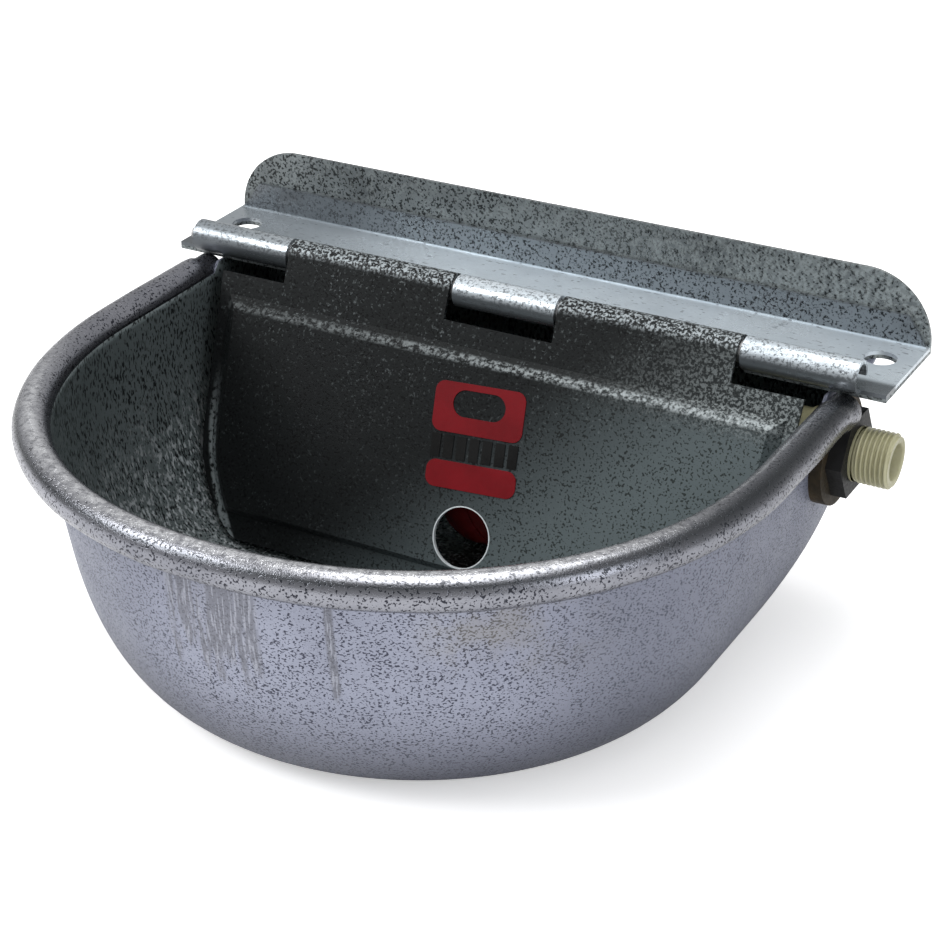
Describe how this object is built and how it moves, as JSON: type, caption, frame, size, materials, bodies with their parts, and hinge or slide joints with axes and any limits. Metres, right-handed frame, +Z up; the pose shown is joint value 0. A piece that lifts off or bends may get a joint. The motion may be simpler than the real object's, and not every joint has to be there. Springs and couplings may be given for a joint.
{
  "type": "automatic stock waterer with float valve",
  "caption": "Wall-hung D-shaped galvanised water bowl with a rolled rim and a hinged cover over a float valve fed from a threaded side inlet.",
  "frame": {"origin": "on the wall face, in the middle of the mounting plate's back face", "axes": "+X along the hinge towards the inlet, +Y into the wall, +Z up; the bowl reaches out along -Y"},
  "size_m": [0.309, 0.261, 0.1325],
  "materials": {
    "galvanised": "hot-dip zinc, satin and speckled",
    "galvanised_plate": "hot-dip zinc, dull",
    "galvanised_smooth": "hot-dip zinc, smooth",
    "galvanised_dark": "hot-dip zinc, dark",
    "zinc_rod": "bright zinc",
    "steel_screen": "drilled sheet",
    "label_red": "printed film",
    "label_black": "printed film",
    "grommet_rubber": "moulded",
    "black_plastic": "moulded",
    "black_rubber": "moulded",
    "dark_plastic": "moulded",
    "cream_nylon": "moulded",
    "brass": "turned",
    "float_red": "moulded"
  },
  "bodies": {
    "housing": {"bowl": "galvanised", "mounting_plate": "galvanised_plate", "hinge_bracket": "galvanised_smooth", "hinge_rod": "zinc_rod", "inlet_grommet": "grommet_rubber", "inlet_locknut": "black_plastic", "inlet_gasket": "black_rubber", "valve_body": "cream_nylon", "inlet_screen": "steel_screen", "valve_seat": "brass", "pivot_pin": "zinc_rod", "pivot_clip": "zinc_rod"},
    "cover": {"cover": "galvanised_dark", "label_top": "label_red", "label_base": "label_red", "label_bars": "label_black"},
    "float_arm": {"arm_lever": "brass", "adjusting_screw": "zinc_rod", "adjusting_nut": "brass", "arm_rod": "brass", "rod_nut": "brass", "float_boss": "float_red", "float_ball": "float_red", "float_cap_nut": "brass"},
    "plunger": {"valve_plunger": "dark_plastic", "plunger_seal": "black_rubber", "plunger_ring": "black_rubber"}
  },
  "joints": [
    {"name": "cover_hinge", "type": "hinge", "parent": "housing", "child": "cover", "pos_m": [0, -0.048, -0.00815], "axis": [-1, 0, 0], "range_deg": [0, 175]},
    {"name": "float_pivot", "type": "hinge", "parent": "housing", "child": "float_arm", "pos_m": [0.084, -0.046, -0.051], "axis": [0, 1, 0], "range_deg": [0, 21]},
    {"name": "valve_slide", "type": "slide", "parent": "housing", "child": "plunger", "axis": [1, 0, 0], "range_m": [0, 0.0043]}
  ],
  "couplings": [
    {"joint": "valve_slide", "follows": "float_pivot", "m_per_rad": 0.0115}
  ]
}
